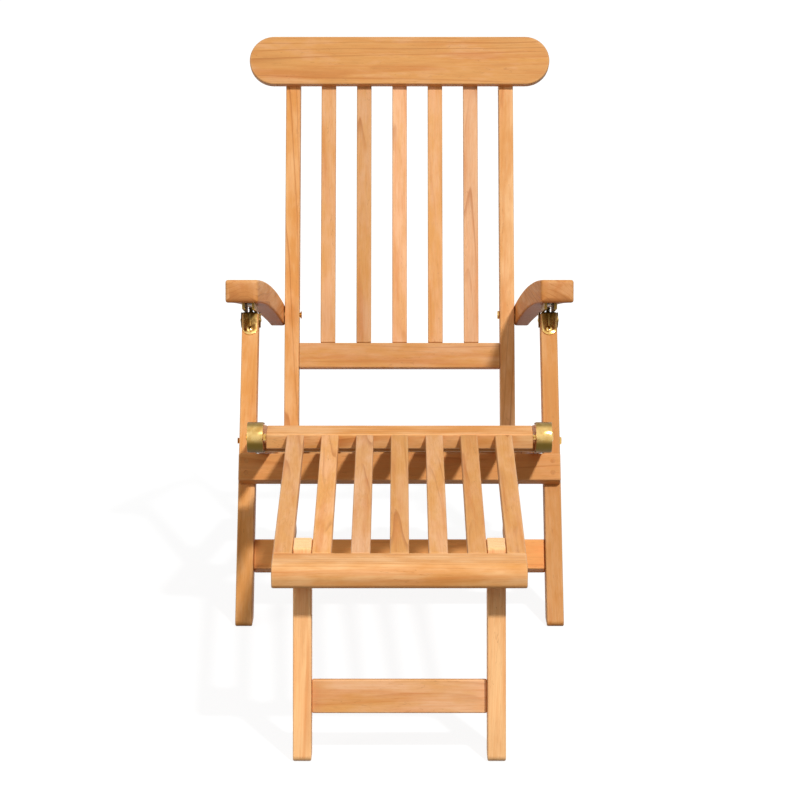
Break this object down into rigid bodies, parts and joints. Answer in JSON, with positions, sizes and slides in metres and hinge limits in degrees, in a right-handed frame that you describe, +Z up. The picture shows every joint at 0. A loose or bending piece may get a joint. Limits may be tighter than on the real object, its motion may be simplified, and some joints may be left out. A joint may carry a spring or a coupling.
{
  "type": "steamer deck chair",
  "caption": "Folding wooden deck chair with slatted reclining back, arched arms, slatted seat and hinged slatted footrest on folding legs.",
  "frame": {"origin": "on the floor, in the middle of the chair's box", "axes": "+X to the sitter's left across the chair, +Y from the footrest to the back, +Z up"},
  "size_m": [0.603, 1.4878, 0.941],
  "materials": {
    "teak": "satin oiled teak, honey",
    "teak_pale": "satin oiled teak, pale",
    "brass": "polished"
  },
  "bodies": {
    "seat_frame": {"left_side_rail": "teak", "right_side_rail": "teak", "seat_front_rail": "teak", "seat_rear_rail": "teak", "seat_slat_1": "teak_pale", "seat_slat_2": "teak_pale", "seat_slat_3": "teak_pale", "seat_slat_4": "teak_pale", "seat_slat_5": "teak_pale", "seat_slat_6": "teak_pale", "seat_slat_7": "teak_pale", "left_nose_strap": "brass", "right_nose_strap": "brass", "left_rear_leg": "teak", "right_rear_leg": "teak", "rear_stretcher": "teak"},
    "front_legs": {"left_front_leg": "teak", "right_front_leg": "teak", "front_apron": "teak_pale", "front_stretcher": "teak_pale", "left_leg_cap": "brass", "right_leg_cap": "brass", "left_arm_stud": "brass", "right_arm_stud": "brass", "left_leg_bolt": "brass", "right_leg_bolt": "brass"},
    "back_bolts": {"left_back_bolt": "brass", "right_back_bolt": "brass"},
    "backrest": {"left_stile": "teak", "right_stile": "teak", "back_lower_rail": "teak_pale", "back_slat_1": "teak_pale", "back_slat_2": "teak_pale", "back_slat_3": "teak_pale", "back_slat_4": "teak_pale", "back_slat_5": "teak_pale", "headrest": "teak_pale"},
    "left_arm_pivot": {"left_arm_bolt": "brass"},
    "right_arm_pivot": {"right_arm_bolt": "brass"},
    "left_armrest": {"left_arm": "teak", "left_arm_channel": "brass"},
    "right_armrest": {"right_arm": "teak", "right_arm_channel": "brass"},
    "footrest": {"footrest_rear_rail": "teak", "left_hinge_pin": "brass", "right_hinge_pin": "brass", "footrest_slat_1": "teak_pale", "footrest_slat_2": "teak_pale", "footrest_slat_3": "teak_pale", "footrest_slat_4": "teak_pale", "footrest_slat_5": "teak_pale", "footrest_slat_6": "teak_pale", "footrest_slat_7": "teak_pale", "footrest_front_rail": "teak"},
    "footrest_legs": {"left_footrest_leg": "teak", "right_footrest_leg": "teak", "left_footrest_bolt": "brass", "right_footrest_bolt": "brass", "footrest_stretcher": "teak_pale"}
  },
  "joints": [
    {"name": "back_fold", "type": "hinge", "parent": "seat_frame", "child": "back_bolts", "pos_m": [0, 0.46227, 0.21576], "axis": [1, 0, 0], "range_deg": [0, 80]},
    {"name": "back_recline", "type": "hinge", "parent": "back_bolts", "child": "backrest", "pos_m": [0, 0.46227, 0.21576], "axis": [-1, 0, 0], "range_deg": [0, 20]},
    {"name": "front_leg_fold", "type": "hinge", "parent": "seat_frame", "child": "front_legs", "pos_m": [0, 0.1595, 0.278], "axis": [1, 0, 0], "range_deg": [0, 80]},
    {"name": "left_arm_recline", "type": "hinge", "parent": "backrest", "child": "left_arm_pivot", "pos_m": [0, 0.54828, 0.43453], "axis": [1, 0, 0], "range_deg": [0, 15]},
    {"name": "right_arm_recline", "type": "hinge", "parent": "backrest", "child": "right_arm_pivot", "pos_m": [0, 0.54828, 0.43453], "axis": [1, 0, 0], "range_deg": [0, 15]},
    {"name": "left_arm_fold", "type": "hinge", "parent": "left_arm_pivot", "child": "left_armrest", "pos_m": [0, 0.54828, 0.43453], "axis": [-1, 0, 0], "range_deg": [0, 104]},
    {"name": "right_arm_fold", "type": "hinge", "parent": "right_arm_pivot", "child": "right_armrest", "pos_m": [0, 0.54828, 0.43453], "axis": [-1, 0, 0], "range_deg": [0, 104]},
    {"name": "footrest_hinge", "type": "hinge", "parent": "seat_frame", "child": "footrest", "pos_m": [0, -0.15607, 0.35143], "axis": [1, 0, 0], "range_deg": [0, 70]},
    {"name": "footrest_leg_fold", "type": "hinge", "parent": "footrest", "child": "footrest_legs", "pos_m": [0, -0.65442, 0.291], "axis": [1, 0, 0], "range_deg": [0, 100]}
  ],
  "couplings": [
    {"joint": "front_leg_fold", "follows": "back_fold", "ratio": 1},
    {"joint": "left_arm_fold", "follows": "back_fold", "ratio": 1.3},
    {"joint": "right_arm_fold", "follows": "back_fold", "ratio": 1.3},
    {"joint": "left_arm_recline", "follows": "back_recline", "ratio": 0.75},
    {"joint": "right_arm_recline", "follows": "back_recline", "ratio": 0.75}
  ]
}
